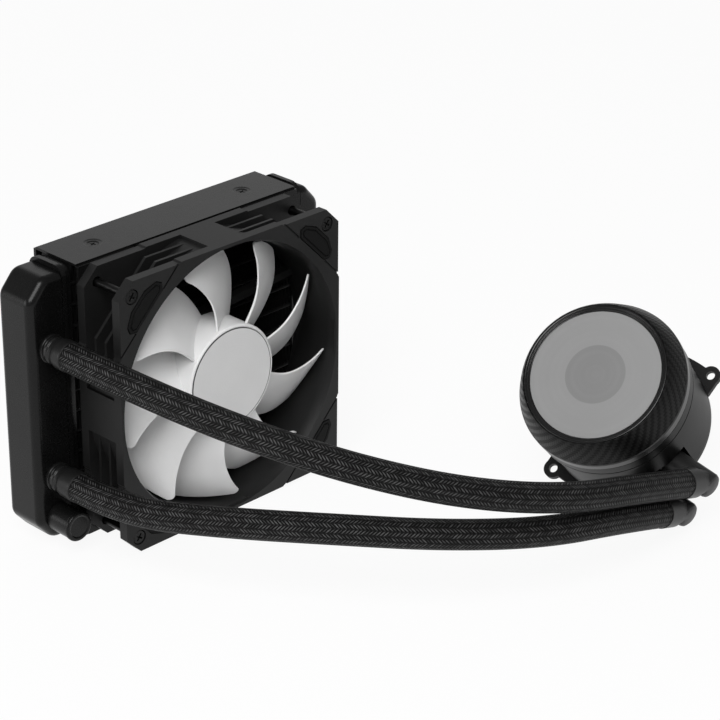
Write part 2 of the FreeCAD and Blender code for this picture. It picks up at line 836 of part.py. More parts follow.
# Lower housing: coolant room below, motor well above, and the port recess
WELL_R = BASE_R - 11.8
ROOM_R = WELL_R - 2.5
CAN_R = 0.436 * WELL_R
WELL_Z = PLATE_T + 9.0
BOARD_Z = BODY_TOP - 9.0
body = rod(BASE_R, V(0, 0, PLATE_T), Z, BODY_TOP - PLATE_T)
recess = box(
    PORT_FOOT - 3.0,
    60,
    -PORT_ACROSS[1] - BARREL_R - 1.2,
    -PORT_ACROSS[0] + BARREL_R + 1.2,
    PORT_H - BARREL_R - 3.0,
    PORT_H + BARREL_R + 1.0,
)
body = body.cut(turn(recess, PORT_TURN))
feet = [
    port_way * PORT_FOOT + across_way * w + V(0, 0, PORT_H) for w in PORT_ACROSS
]
body = join([body] + [rod(5.9, f, port_way * -1, 6.0) for f in feet])
body = body.cut(Part.makeCompound([rod(3.3, f, port_way * -1, 7.0) for f in feet]))
body = body.cut(rod(ROOM_R, V(0, 0, PLATE_T), Z, 6.4))
body = body.cut(rod(WELL_R - 3.0, V(0, 0, WELL_Z), Z, BOARD_Z - WELL_Z))
body = body.cut(rod(WELL_R, V(0, 0, BOARD_Z), Z, BODY_TOP))
body = body.fuse(rod(CAN_R, V(0, 0, WELL_Z - 1.0), Z, BOARD_Z + 3.0 - WELL_Z))
body = body.cut(rod(CAN_R - 1.4, V(0, 0, PLATE_T + 6.0), Z, BOARD_Z - PLATE_T - 6.0))
body = body.cut(rod(1.25, V(0, 0, BOARD_Z - 0.4), Z, 1.6))
pilots = [turn(s, 22.5) for s in around(rod(1.22, V(SCREW_RING, 0, 0), Z, 6.3), 8)]
body = body.cut(Part.makeCompound(pilots))
seal = ring(WELL_R + 1.4, ROOM_R + 1.7, V(0, 0, PLATE_T), Z, 1.2)
body = body.cut(seal)
pump_save("pump_body", body.removeSplitter())
pump_save("base_seal", seal)

# Impeller with its magnet, on a fixed ceramic pin
IMP_Z = PLATE_T + 1.6
IMP_R = ROOM_R - 5.5
disc = ring(IMP_R, 1.32, V(0, 0, IMP_Z + 2.2), Z, 1.4)
vane = turn(box(3.2, IMP_R - 1.0, -0.6, 0.6, IMP_Z, IMP_Z + 2.6), 24, V(3.2, 0, 0))
sleeve = ring(3.6, 1.32, V(0, 0, IMP_Z), Z, 3.6)
magnet = ring(CAN_R - 2.0, 1.32, V(0, 0, IMP_Z + 3.6), Z, BOARD_Z - 1.8 - IMP_Z - 3.6)
pump_save("impeller", join([disc, sleeve, magnet] + around(vane, 6)))
pump_save("impeller_pin", rod(1.25, V(0, 0, PLATE_T), Z, BOARD_Z + 1.0 - PLATE_T))

# Pump stator, windings and controller board in the well
P0 = WELL_Z + 3.2
P1 = BOARD_Z - 4.8


def upright(shape):
    # from the Y axis to the Z axis
    return turn(shape, 90, O, X)


pump_save("pump_stator", upright(stator_core(P0, P1, CAN_R, WELL_R - 3.1, 3.4, 6)))
coils = windings(P0, P1, CAN_R + 3.0, WELL_R - 5.2, 3.4, 1.2, 6)
pump_save("pump_windings", [upright(c) for c in coils])
pump_save("pump_board", ring(WELL_R - 0.1, CAN_R + 0.4, V(0, 0, BOARD_Z), Z, 1.4))

# Motor cover, trim ring, tapered cap, bezel and window
cover = [
    (0, BODY_TOP),
    (BAND_R, BODY_TOP),
    (BAND_R, BODY_TOP + COVER_H),
    (BAND_R - 4.4, BODY_TOP + COVER_H),
    (BAND_R - 4.4, BODY_TOP + 2.0),
    (0, BODY_TOP + 2.0),
]
pump_save("motor_cover", turned(cover))
trim = [
    (BAND_R - 9.4, BAND_Z - 1.4),
    (BAND_R - 4.4, BAND_Z - 1.4),
    (BAND_R - 4.4, BAND_Z - TRIM_H),
    (BAND_R - 0.7, BAND_Z - TRIM_H),
    (BAND_R - 0.7, BAND_Z - TRIM_H + 0.5),
    (BAND_R + 0.3, BAND_Z - TRIM_H + 0.9),
    (BAND_R + 0.3, BAND_Z - 0.5),
    (BAND_R, BAND_Z),
    (BAND_R - 9.4, BAND_Z),
]
pump_save("trim_ring", turned(trim))


def domed_ring(outer, inner):
    # each side is (start, middle, end) of an arc in (radius, height)
    a, b, c = [V(r, 0, h) for r, h in outer]
    d, e, f = [V(r, 0, h) for r, h in inner]
    edges = [
        Part.Arc(a, b, c).toShape(),
        Part.makeLine(c, d),
        Part.Arc(d, e, f).toShape(),
        Part.makeLine(f, a),
    ]
    return Part.Face(Part.Wire(edges)).revolve(O, Z, 360)


BEZEL_R = FACE_R - 0.4
cap = domed_ring(
    [(BAND_R, BAND_Z), (BAND_R - 2.9, PUMP_H - 4.6), (FACE_R, PUMP_H)],
    [(BEZEL_R, PUMP_H), (BAND_R - 4.8, PUMP_H - 5.0), (BAND_R - 2.4, BAND_Z)],
)
inner_rim = rod(BEZEL_R, V(0, 0, PUMP_H - 3.2), Z, 4.0)
pump_save("cap_shell", cap.cut(inner_rim))
bezel = [
    (WINDOW_R - 1.8, PUMP_H - 3.0),
    (BEZEL_R, PUMP_H - 3.0),
    (BEZEL_R, PUMP_H + 0.15),
    (BEZEL_R - 0.6, PUMP_H + 0.15),
    (BEZEL_R - 0.6, PUMP_H - 0.4),
    (WINDOW_R + 0.5, PUMP_H - 0.4),
    (WINDOW_R + 0.5, PUMP_H - 0.8),
    (WINDOW_R, PUMP_H - 0.8),
    (WINDOW_R, PUMP_H - 2.1),
    (WINDOW_R - 1.8, PUMP_H - 2.1),
]
pump_save("bezel_ring", turned(bezel))
pump_save("window", rod(WINDOW_R, V(0, 0, PUMP_H - 2.1), Z, 1.3))
pump_save("light_board", rod(BAND_R - 7.4, V(0, 0, BAND_Z), Z, 1.2))
CHIP_R = BAND_R - 15.6
chip = box(CHIP_R - 1.5, CHIP_R + 1.5, -1.5, 1.5, BAND_Z + 1.2, BAND_Z + 2.1)
pump_save("light_chips", around(chip, 8))

# Elbows: a barrel out of each port and a stub that the hose slides over
stub_way = (across_way * 0.435 + Z * 0.9).normalize()
ends = []
for name, foot in zip(("elbow_upper", "elbow_lower"), feet):
    out = PORT_OUT - PORT_FOOT
    profile = [
        (0, 0),
        (BARREL_R + 0.4, 0),
        (BARREL_R + 0.4, 2.2),
        (BARREL_R, 2.6),
        (BARREL_R, out + 3.2),
        (BARREL_R - 0.5, out + 4.3),
        (BARREL_R - 1.7, out + 5.0),
        (0, out + 5.2),
    ]
    points = [foot + Z * r + port_way * h for r, h in profile]
    wire = Part.makePolygon(points + [points[0]])
    barrel = Part.Face(wire).revolve(foot, port_way, 360)
    centre = foot + port_way * out
    stub = rod(5.1, centre, stub_way, STUB)
    grip = rod(5.6, centre + stub_way * 6.2, stub_way, STUB - 6.2)
    spigot = rod(3.2, foot, port_way * -1, 5.0)
    elbow = join([barrel, stub, grip, spigot])
    elbow = elbow.cut(rod(2.6, foot - port_way * 5.0, port_way, out + 5.0))
    elbow = elbow.cut(rod(2.6, centre, stub_way, STUB + 1))
    pump_save(name, elbow)
    ends.append((POSE.multVec(centre + stub_way * STUB), stub_way))


# Hoses: straight runs joined by tangent arcs
def route_wire(points):
    corners = []
    for a, p, b in zip(points, points[1:], points[2:]):
        u = (a - p).normalize()
        w = (b - p).normalize()
        turn_by = math.pi - u.getAngle(w)
        short = min((a - p).Length, (b - p).Length)
        radius = 0.45 * short / math.tan(turn_by / 2)
        back = 0.45 * short
        middle = (u + w).normalize()
        centre = p + middle * (radius / math.cos(turn_by / 2))
        corners.append((p + u * back, centre - middle * radius, p + w * back, radius))
    edges = []
    at = points[0]
    for start, mid, end, radius in corners:
        edges.append(Part.LineSegment(at, start).toShape())
        edges.append(Part.Arc(start, mid, end).toShape())
        at = end
    edges.append(Part.LineSegment(at, points[-1]).toShape())
    print("  bend radii", [round(c[3], 1) for c in corners])
    return Part.Wire(edges)


def hose(name, z, cuff, route, end, way, first_run, last_run):
    start = V(BARB_X, face_y - cuff, z)
    first = start + V(0, -1, 0) * first_run
    last = end + POSE.Rotation.multVec(way) * last_run
    points = [start, first] + route + [last, end]
    path = route_wire(points)
    skins = []
    for r in (HOSE_R, HOSE_BORE):
        circle = Part.Wire(Part.Circle(start, V(0, -1, 0), r).toShape())
        skins.append(path.makePipeShell([circle], True, True))
    solid = skins[0].cut(skins[1])
    section = math.pi * (HOSE_R**2 - HOSE_BORE**2)
    ratio = solid.Volume / (section * path.Length)
    print("  length", round(path.Length, 1), "volume ratio", round(ratio, 4))
    print("  points", [tuple(round(c, 1) for c in p) for p in points])
    print("  lowest", round(solid.BoundBox.ZMin, 2))
    save(name, solid)


hose("hose_upper", BARB_UP, CUFF_UP, ROUTE_UPPER, *ends[0], 37.0, 39.5)
hose("hose_lower", BARB_LOW, CUFF_LOW, ROUTE_LOWER, *ends[1], 27.4, 36.5)
print(len(BUILT), "nodes")
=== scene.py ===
# %% [markdown]
# # Dressing an all-in-one liquid cooler
# The solid model of this cooler already exists: a radiator with its fan, a
# round pump head and two hoses. This lesson gives it its looks. Each step first
# says what the real piece is and how it can be made in Blender. All the
# lengths below are metres, so a helper turns millimetres into metres.

# %% Load the solid model
import math

import bmesh
import bpy
import numpy as np
from mathutils import Matrix, Vector


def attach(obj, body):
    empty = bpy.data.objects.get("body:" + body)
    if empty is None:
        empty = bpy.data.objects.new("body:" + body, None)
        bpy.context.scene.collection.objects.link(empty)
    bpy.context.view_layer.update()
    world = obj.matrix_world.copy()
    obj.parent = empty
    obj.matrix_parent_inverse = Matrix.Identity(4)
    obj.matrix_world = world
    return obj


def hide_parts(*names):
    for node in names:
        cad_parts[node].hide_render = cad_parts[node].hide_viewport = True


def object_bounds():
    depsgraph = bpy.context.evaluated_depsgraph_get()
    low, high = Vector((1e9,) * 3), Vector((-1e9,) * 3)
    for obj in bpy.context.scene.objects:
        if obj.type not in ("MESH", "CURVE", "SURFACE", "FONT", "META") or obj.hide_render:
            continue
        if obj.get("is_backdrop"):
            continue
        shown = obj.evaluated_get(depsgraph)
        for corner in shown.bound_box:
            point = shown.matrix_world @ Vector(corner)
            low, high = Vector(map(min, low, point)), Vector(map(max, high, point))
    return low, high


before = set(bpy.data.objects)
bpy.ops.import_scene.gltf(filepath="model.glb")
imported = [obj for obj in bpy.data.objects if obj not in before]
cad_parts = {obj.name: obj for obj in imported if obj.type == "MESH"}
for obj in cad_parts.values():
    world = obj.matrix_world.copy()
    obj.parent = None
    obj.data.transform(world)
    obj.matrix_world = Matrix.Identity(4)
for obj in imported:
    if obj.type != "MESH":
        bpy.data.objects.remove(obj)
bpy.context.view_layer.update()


def mm(x, y, z):
    return Vector((x, y, z)) / 1000


# %% [markdown]
# ## The camera
# The photograph was taken with a long lens from the left front and above. A
# camera is placed by its position and three directions: what lies to its
# right, what is up for it, and what is behind it. Solved from the corners of
# the fan, they go straight into the camera's matrix as its columns.

# %% Camera
CAMERA_AT = mm(-608.9, -699.6, 497.2)
FOCAL_PX = 2469.7
PHOTO_PX = 720
SENSOR_MM = 36
camera = bpy.data.objects.new("camera", bpy.data.cameras.new("camera"))
bpy.context.collection.objects.link(camera)
right = Vector((0.700, -0.714, 0.010)).normalized()
back = Vector((-0.647, -0.629, 0.431))
back = (back - right * back.dot(right)).normalized()
up = back.cross(right)
turn = Matrix((right, up, back)).transposed()
camera.matrix_world = Matrix.Translation(CAMERA_AT) @ turn.to_4x4()
camera.data.sensor_width = SENSOR_MM
camera.data.lens = SENSOR_MM * FOCAL_PX / PHOTO_PX
camera.data.clip_start = 0.05
camera.data.clip_end = 20
bpy.context.scene.camera = camera
bpy.context.scene.view_settings.view_transform = "Standard"
print("lens", round(camera.data.lens, 1), "mm")

# %% [markdown]
# ## A short way to write shader maths
# Every finish below is worked out from where a point lies on its piece. In the
# shader editor, each sum is a node and each link is drawn by hand. Here a small
# class wraps an output socket, so that a sum written in Python adds the Math
# node. All other nodes come from its `node` method.

# %% Sockets in sums


class Wire:
    def __init__(self, tree, socket=None):
        self.tree = tree
        self.socket = socket

    def node(self, kind, settings=None, inputs=None, output=0):
        made = self.tree.nodes.new("ShaderNode" + kind)
        for key, value in (settings or {}).items():
            setattr(made, key, value)
        for key, value in (inputs or {}).items():
            if isinstance(value, Wire):
                self.tree.links.new(value.socket, made.inputs[key])
            else:
                made.inputs[key].default_value = value
        return Wire(self.tree, made.outputs[output])

    def maths(self, operation, *values):
        inputs = dict(enumerate(values))
        return self.node("Math", {"operation": operation}, inputs)

    def __add__(self, other):
        return self.maths("ADD", self, other)

    def __radd__(self, other):
        return self.maths("ADD", other, self)

    def __sub__(self, other):
        return self.maths("SUBTRACT", self, other)

    def __rsub__(self, other):
        return self.maths("SUBTRACT", other, self)

    def __mul__(self, other):
        return self.maths("MULTIPLY", self, other)

    def __abs__(self):
        return self.maths("ABSOLUTE", self)

    def step(self, low, high):
        # 0 below low, 1 above high, smooth between them
        settings = {"interpolation_type": "SMOOTHSTEP"}
        return self.node("MapRange", settings, {0: self, 1: low, 2: high})

    def blend(self, one, two):
        # a colour, from one (at 0) to two (at 1)
        settings = {"data_type": "RGBA"}
        return self.node("Mix", settings, {0: self, 6: one, 7: two}, 2)


print("shader helper ready")

# %% [markdown]
# ## A finish with one shader
# A finish is one Principled shader. Its plain numbers are set on its own
# sockets. What changes over the surface, such as the colour, the roughness and
# the height of fine bumps, is linked to it. The Bump node turns a height in
# metres into a tilt of the surface.

# %% Start a finish


def grey(value):
    return (value, value, value, 1)


def start_finish(name, **numbers):
    material = bpy.data.materials.new(name)
    material.use_nodes = True
    tree = material.node_tree
    shader = tree.nodes["Principled BSDF"]
    for key, value in numbers.items():
        shader.inputs[key.replace("_", " ")].default_value = value
    return material, Wire(tree), shader


def put(wire, shader, name):
    wire.tree.links.new(wire.socket, shader.inputs[name])


def put_bump(wire, shader, height):
    inputs = {"Strength": 1.0, "Distance": 1.0, "Height": height}
    put(wire.node("Bump", {}, inputs), shader, "Normal")


def place_on_object(wire):
    return wire.node("TexCoord", output=3)


def noise(wire, where, scale, detail=2.0):
    inputs = {"Vector": where, "Scale": scale, "Detail": detail, "Roughness": 0.5}
    return wire.node("TexNoise", {"noise_dimensions": "3D"}, inputs)


def apart(wire, where):
    split = wire.node("SeparateXYZ", {}, {0: where})
    outputs = split.socket.node.outputs
    return [Wire(wire.tree, outputs[i]) for i in range(3)]


print("finish helpers ready")

# %% [markdown]
# ## Paint and moulded plastic
# Most of the cooler is black, so its finishes differ in gloss and grain rather
# than in colour. Spray paint on aluminium has a soft orange peel. Moulded
# plastic has a fine even grain from the etched mould. Both get faint clouds in
# colour and gloss, because a perfectly even surface looks made up.

# %% Grained finish


CLOUDS_PER_M = 35.0
SPECK_SHARE = 0.35


def grained(name, dark, light, rough, grain, depth, **numbers):
    # dark and light: the clouds' colours; grain: grains per metre; depth in metres
    material, wire, shader = start_finish(name, **numbers)
    where = place_on_object(wire)
    clouds = noise(wire, where, CLOUDS_PER_M, 3.0)
    grains = noise(wire, where, grain)
    shade = clouds.step(0.3, 0.7).blend(dark, light)
    speck = grains.step(0.35, 0.75)
    shade = (speck * SPECK_SHARE).blend(shade, light)
    put(shade, shader, "Base Color")
    put(rough + (clouds - 0.5) * 0.12 + (grains - 0.5) * 0.08, shader, "Roughness")
    put_bump(wire, shader, grains * depth)
    return material


def black(name, dark, light, rough, grain, depth, shine):
    # a dark finish whose own reflection is weaker than bare plastic's
    return grained(
        name, grey(dark), grey(light), rough, grain, depth, Specular_IOR_Level=shine
    )


radiator_paint = black("radiator_paint", 0.003, 0.005, 0.27, 500.0, 0.000004, 0.2)
core_paint = black("core_paint", 0.003, 0.005, 0.5, 700.0, 0.00002, 0.12)
barb_paint = black("barb_paint", 0.005, 0.009, 0.24, 600.0, 0.000006, 0.35)
fan_plastic = black("fan_plastic", 0.008, 0.012, 0.46, 2200.0, 0.000012, 0.22)
pad_rubber = black("pad_rubber", 0.003, 0.005, 0.55, 2600.0, 0.000012, 0.1)
pump_plastic = black("pump_plastic", 0.003, 0.005, 0.4, 2400.0, 0.000006, 0.12)
mount_paint = black("mount_paint", 0.006, 0.009, 0.42, 1500.0, 0.00001, 0.2)
elbow_plastic = black("elbow_plastic", 0.014, 0.019, 0.36, 1800.0, 0.000006, 0.28)
cuff_rubber = black("cuff_rubber", 0.006, 0.01, 0.4, 900.0, 0.00001, 0.22)
trim_paint = black("trim_paint", 0.03, 0.04, 0.34, 2000.0, 0.000006, 0.4)
bezel_plastic = black("bezel_plastic", 0.003, 0.005, 0.2, 1200.0, 0.000003, 0.4)
seal_rubber = black("seal_rubber", 0.01, 0.014, 0.6, 1500.0, 0.00001, 0.3)
ceramic = grained("ceramic", grey(0.72), grey(0.78), 0.25, 1200.0, 0.000002)
nylon = grained("nylon", grey(0.6), grey(0.66), 0.45, 1200.0, 0.000004)
magnet_grey = grained("magnet_grey", grey(0.03), grey(0.05), 0.55, 1800.0, 0.00001)
impeller_plastic = grained(
    "impeller_plastic", grey(0.03), grey(0.04), 0.45, 1800.0, 0.000008
)
print("grained finishes:", len(bpy.data.materials))

# %% [markdown]
# ## Metals inside and out
# Screws are blackened steel, the shaft and the stators are bright steel, and
# the cold plate and windings are copper. A machined surface shows fine lines
# in one direction, which is a noise stretched along an axis by a Mapping node.

# %% Metal finish


def metal(name, dark, light, rough, stretch, scale=1500.0):
    # stretch: how the lines run; scale: lines per metre across them
    material, wire, shader = start_finish(name, Metallic=1.0)
    where = place_on_object(wire)
    stretched = wire.node("Mapping", {}, {"Vector": where, "Scale": stretch})
    lines = noise(wire, stretched, scale, 3.0)
    clouds = noise(wire, where, 60.0)
    put(lines.step(0.25, 0.75).blend(dark, light), shader, "Base Color")
    put(rough + (lines - 0.5) * 0.2 + (clouds - 0.5) * 0.1, shader, "Roughness")
    put_bump(wire, shader, lines * 0.000004)
    return material


dark_screw = metal("dark_screw", grey(0.02), grey(0.035), 0.36, (1, 0.2, 1))
bright_steel = metal("bright_steel", grey(0.42), grey(0.52), 0.3, (1, 0.1, 1))
bronze = metal("bronze", (0.36, 0.23, 0.1, 1), (0.45, 0.3, 0.14, 1), 0.4, (1, 0.3, 1))
copper = metal(
    "copper", (0.62, 0.27, 0.13, 1), (0.78, 0.38, 0.22, 1), 0.28, (1, 0.08, 1), 900.0
)
print("metal finishes ready")

# %% [markdown]
# ## Copper wire on the windings
# A winding is hundreds of turns of lacquered wire. On a block, turns can be
# painted as rounded ridges side by side: the absolute sine of the distance
# gives one ridge per half wave.

# %% Wire-wound finish
TURN_WAVE = 9000.0
TURN_DEPTH = 0.00008
winding, wire, shader = start_finish("winding", Metallic=0.6, Roughness=0.35)
x, _, z = apart(wire, place_on_object(wire))
turns = abs(wire.maths("SINE", (x + z) * TURN_WAVE))
shade = turns.step(0.1, 0.9).blend((0.16, 0.06, 0.02, 1), (0.68, 0.3, 0.12, 1))
put(shade, shader, "Base Color")
put_bump(wire, shader, turns * TURN_DEPTH)
print("windings ready")

# %% [markdown]
# ## Circuit boards
# A board is green lacquer over copper tracks. A Voronoi pattern stands in for
# the tracks: its edges are lighter and stand a little proud.

# %% Board finish
TRACKS_PER_M = 380.0
TRACK_DEPTH = -0.00004
board_green, wire, shader = start_finish("board_green", Roughness=0.35)
where = place_on_object(wire)
tracks = wire.node(
    "TexVoronoi",
    {"feature": "DISTANCE_TO_EDGE"},
    {"Vector": where, "Scale": TRACKS_PER_M},
)
mask = tracks.step(0.03, 0.07)
put(mask.blend((0.03, 0.2, 0.08, 1), (0.01, 0.08, 0.035, 1)), shader, "Base Color")
put_bump(wire, shader, mask * TRACK_DEPTH)
chip_yellow, wire, shader = start_finish("chip_yellow", Roughness=0.3)
soft = noise(wire, place_on_object(wire), 700.0)
shade = soft.step(0.2, 0.8).blend((0.8, 0.7, 0.3, 1), (0.9, 0.85, 0.55, 1))
put(shade, shader, "Base Color")
print("boards ready")

# %% [markdown]
# ## The pump head's own axes
# The pump head lies tilted. Patterns on it, such as rings and twill, follow its
# own axes, so the shader first works out where a point lies along them: its
# distance from the base centre, taken along each axis by a dot product.

# %% Pump axes
FACE_EL = math.radians(44.2)
FACE_AZ = math.radians(-166.0)
PUMP_H = 59.0
BASE_R = 33.8
PUMP_AT = mm(139.2, -134.3, BASE_R * math.cos(FACE_EL))
pump_n = Vector(
    (
        math.cos(FACE_EL) * math.cos(FACE_AZ),
        math.cos(FACE_EL) * math.sin(FACE_AZ),
        math.sin(FACE_EL),
    )
)
pump_a = Vector((-math.sin(FACE_AZ), math.cos(FACE_AZ), 0))
pump_b = pump_n.cross(pump_a)
pump_turn = Matrix((pump_a, pump_b, pump_n)).transposed()
pump_pose = Matrix.Translation(PUMP_AT) @ pump_turn.to_4x4()


def pump_place(wire):
    # along the two axes in the face and up the pump's axis, in metres
    where = place_on_object(wire)
    from_base = wire.node(
        "VectorMath", {"operation": "SUBTRACT"}, {0: where, 1: PUMP_AT}
    )
    settings = {"operation": "DOT_PRODUCT"}
    return [
        wire.node("VectorMath", settings, {0: from_base, 1: way}, 1)
        for way in (pump_a, pump_b, pump_n)
    ]


print("pump faces", [round(v, 3) for v in pump_n])

# %% [markdown]
# ## The frosted window
# The face is a frosted grey disc over a light guide, so it shows faint rings
# and a slightly darker round middle. The rings come from the distance to the
# axis. The middle is left plain.

# %% Window finish
MIDDLE_R = (12.5, 12.75)
window_grey, wire, shader = start_finish(
    "window_grey", Specular_IOR_Level=0.4, Coat_Weight=0.25, Coat_Roughness=0.12
)
a, b, _ = pump_place(wire)
radius = wire.maths("SQRT", a * a + b * b) * 1000.0
middle = radius.step(*MIDDLE_R)
fine = wire.maths("SINE", radius * 2.1) * 0.5
wide = wire.maths("SINE", radius * 0.83) * 0.5
rings = fine + wide
sweep = noise(wire, place_on_object(wire), 22.0)
shade = middle.blend(grey(0.2), grey(0.255))
lit = (rings * 0.5 + 0.5) * 0.05 + (sweep - 0.5) * 0.25
shade = lit.blend(shade, grey(0.42))
put(shade, shader, "Base Color")
put(0.34 + (sweep - 0.5) * 0.1 + rings * 0.02, shader, "Roughness")
put_bump(wire, shader, rings * 0.000006)
print("window ready")

# %% [markdown]
# ## The carbon band
# Round the tapered cap runs a carbon-look twill: two sets of ribbons that pass
# over two and under two. What the eye sees is diagonal ribs of short darker and
# lighter cells. The angle round the axis and the height give flat coordinates,
# and the ribs are stripes across their sum.

# %% Twill finish
TWILL = 1.1
TWILL_DEPTH = 0.00005
carbon_twill, wire, shader = start_finish("carbon_twill", Specular_IOR_Level=0.14)
a, b, n = pump_place(wire)
around = wire.maths("ARCTAN2", b, a) * (BASE_R / TWILL)
height = n * (1000.0 / TWILL)
column = wire.maths("FLOOR", around)
row = wire.maths("FLOOR", height)
across = around - column
along = height - row
cell = wire.maths("FLOORED_MODULO", column - row, 4.0)
over = cell.step(1.4, 1.6)
thread_a = wire.maths("SINE", along * math.pi)
thread_b = wire.maths("SINE", across * math.pi)
swell = thread_a * (1.0 - over) + thread_b * over
fibre = noise(wire, place_on_object(wire), 5200.0)
tone = over * 0.75 + swell * 0.12 + (fibre - 0.5) * 0.3
put(tone.step(0.0, 1.0).blend(grey(0.001), grey(0.010)), shader, "Base Color")
put(0.5 - over * 0.14, shader, "Roughness")
put_bump(wire, shader, swell * TWILL_DEPTH)
print("twill ready")

# %% [markdown]
# ## Milky blades
# The rotor is a translucent white plastic. A little subsurface light gives it
# its soft look, with a faint cloudiness from the moulding. The disc on its hub
# is a satin film with very fine lathe lines round the axis. At its rim a thin
# dark ring is painted shade, standing in for the shadow in the gap to the hub cup.

# %% Blade and hub finishes
FAN_C = mm(-0.7, 0, 59.7)
# radii in mm of a painted shade ring, where the gap round the disc is drawn dark
GAP_SHADE_R = (21.05, 21.2)
blade_white, wire, shader = start_finish(
    "blade_white",
    Subsurface_Weight=0.25,
    Subsurface_Scale=0.003,
    Specular_IOR_Level=0.4,
)
shader.inputs["Subsurface Radius"].default_value = (1.0, 1.0, 1.0)
where = place_on_object(wire)
clouds = noise(wire, where, 45.0)
grains = noise(wire, where, 1800.0)
put(clouds.step(0.25, 0.75).blend(grey(0.76), grey(0.82)), shader, "Base Color")
put(0.42 + (grains - 0.5) * 0.1, shader, "Roughness")
put_bump(wire, shader, grains * 0.000006)

disc_film, wire, shader = start_finish("disc_film", Specular_IOR_Level=0.45)
where = place_on_object(wire)
from_hub = wire.node("VectorMath", {"operation": "SUBTRACT"}, {0: where, 1: FAN_C})
x, _, z = apart(wire, from_hub)
radius = wire.maths("SQRT", x * x + z * z) * 1000.0
lathe = wire.node(
    "TexNoise", {"noise_dimensions": "1D"}, {"W": radius * 4.0, "Scale": 1.0}
)
clouds = noise(wire, where, 50.0)
satin = (lathe * 0.5 + clouds * 0.5).step(0.2, 0.8).blend(grey(0.66), grey(0.74))
# painted shade: the disc's rim goes dark where the gap to the hub cup lies in shadow
gap_shade = radius.step(*GAP_SHADE_R)
put(gap_shade.blend(satin, grey(0.04)), shader, "Base Color")
put(0.36 + (lathe - 0.5) * 0.12, shader, "Roughness")
put_bump(wire, shader, lathe * 0.000008)
print("fan finishes ready")

# %% [markdown]
# ## The hoses' line
# Each hose is one rubber tube in a braided sleeve. Its line is a smooth NURBS
# curve, with the same control points as the solid model's route. A curve can't
# carry a sleeve pattern with an even pitch, so the line is read back as points
# that lie evenly along it, and a tube is drawn along those.

# %% Hose routes
UPPER = [
    (-71.0, -22.2, 87.1),
    (-71.0, -59.2, 87.1),
    (-59.0, -102.4, 80.6),
    (-36.0, -139.2, 70.0),
    (-3.4, -167.0, 57.9),
    (36.0, -183.5, 46.8),
    (79.7, -186.6, 36.4),
    (116.8, -182.9, 23.3),
]
LOWER = [
    (-71.0, -24.4, 30.8),
    (-71.0, -51.8, 30.8),
    (-57.0, -91.7, 36.7),
    (-34.4, -127.8, 39.4),
    (-4.7, -158.0, 37.1),
    (31.1, -178.2, 32.2),
    (71.8, -184.2, 25.2),
    (106.1, -180.8, 13.1),
]


def smooth_line(name, points):
    curve = bpy.data.curves.new(name, "CURVE")
    curve.dimensions = "3D"
    spline = curve.splines.new("NURBS")
    spline.points.add(len(points) - 1)
    for point, place in zip(spline.points, points):
        point.co = (*mm(*place), 1)
    spline.order_u = 3
    spline.use_endpoint_u = True
    spline.resolution_u = 64
    holder = bpy.data.objects.new(name, curve)
    bpy.context.collection.objects.link(holder)
    mesh = bpy.data.meshes.new_from_object(holder)
    line = np.array([v.co[:] for v in mesh.vertices])
    bpy.data.meshes.remove(mesh)
    bpy.data.objects.remove(holder)
    return line


def even_points(line, spacing):
    steps = np.linalg.norm(np.diff(line, axis=0), axis=1)
    so_far = np.concatenate([[0], np.cumsum(steps)])
    wanted = np.linspace(0, so_far[-1], int(so_far[-1] / spacing) + 1)
    places = [np.interp(wanted, so_far, line[:, i]) for i in range(3)]
    return [Vector(p) for p in zip(*places)], wanted


POINT_GAP = 0.001
lines = {}
for name, route in (("upper", UPPER), ("lower", LOWER)):
    points, far = even_points(smooth_line("line_" + name, route), POINT_GAP)
    lines[name] = points, far
    print(name, "hose:", len(points), "points,", round(far[-1] * 1000, 1), "mm")

# %% [markdown]
# ## The braided sleeve
# A braid is made of ribbons of fine threads that cross. Along the hose it shows
# columns: in one column the threads lean one way, in the next the other, like
# a herringbone. The pattern needs to follow the hose, so the tube gets its own
# UV map, with the distance along it and the way round it.

# %% Sleeve finish
COLUMNS = 18
THREAD_PITCH = 1.4
THREAD_LEAN = 1.5
THREAD_DEPTH = 0.0003
sleeve_braid, wire, shader = start_finish("sleeve_braid", Specular_IOR_Level=0.16)
uv = wire.node("UVMap", {"uv_map": "sleeve"})
along, around, _ = apart(wire, uv)
columns = around * float(COLUMNS)
column = wire.maths("FLOOR", columns)
across = columns - column
lean = wire.maths("FLOORED_MODULO", column, 2.0) * 2.0 - 1.0
phase = along * (1000.0 / THREAD_PITCH) + lean * (across - 0.5) * THREAD_LEAN
dash = wire.maths("FLOOR", phase)
ridge = wire.maths("SINE", (phase - dash) * math.pi)
plump = wire.maths("SINE", across * math.pi)
each = wire.node("CombineXYZ", {}, {0: column, 1: dash})
luck = wire.node("TexWhiteNoise", {"noise_dimensions": "3D"}, {"Vector": each})
fuzz = noise(wire, place_on_object(wire), 1500.0)
lift = ridge * (plump * 0.4 + 0.6)
tone = ridge * (0.6 + plump * 0.4) * (0.7 + luck * 0.3) + (fuzz - 0.5) * 0.15
put(tone.step(0.5, 0.95).blend(grey(0.001), grey(0.07)), shader, "Base Color")
put(0.68 - lift * 0.2, shader, "Roughness")
put_bump(wire, shader, lift * THREAD_DEPTH)
print("sleeve ready")

# %% [markdown]
# ## The hoses
# The tube starts as one ring of edges at the barb. It is extruded from point to
# point along the line, and each new ring is turned by as much as the line
# turns there, so the tube doesn't twist. The rings' places round and along the
# tube are its UV map.

# %% Draw a tube along points
HOSE_R = 0.006
SIDES = 40


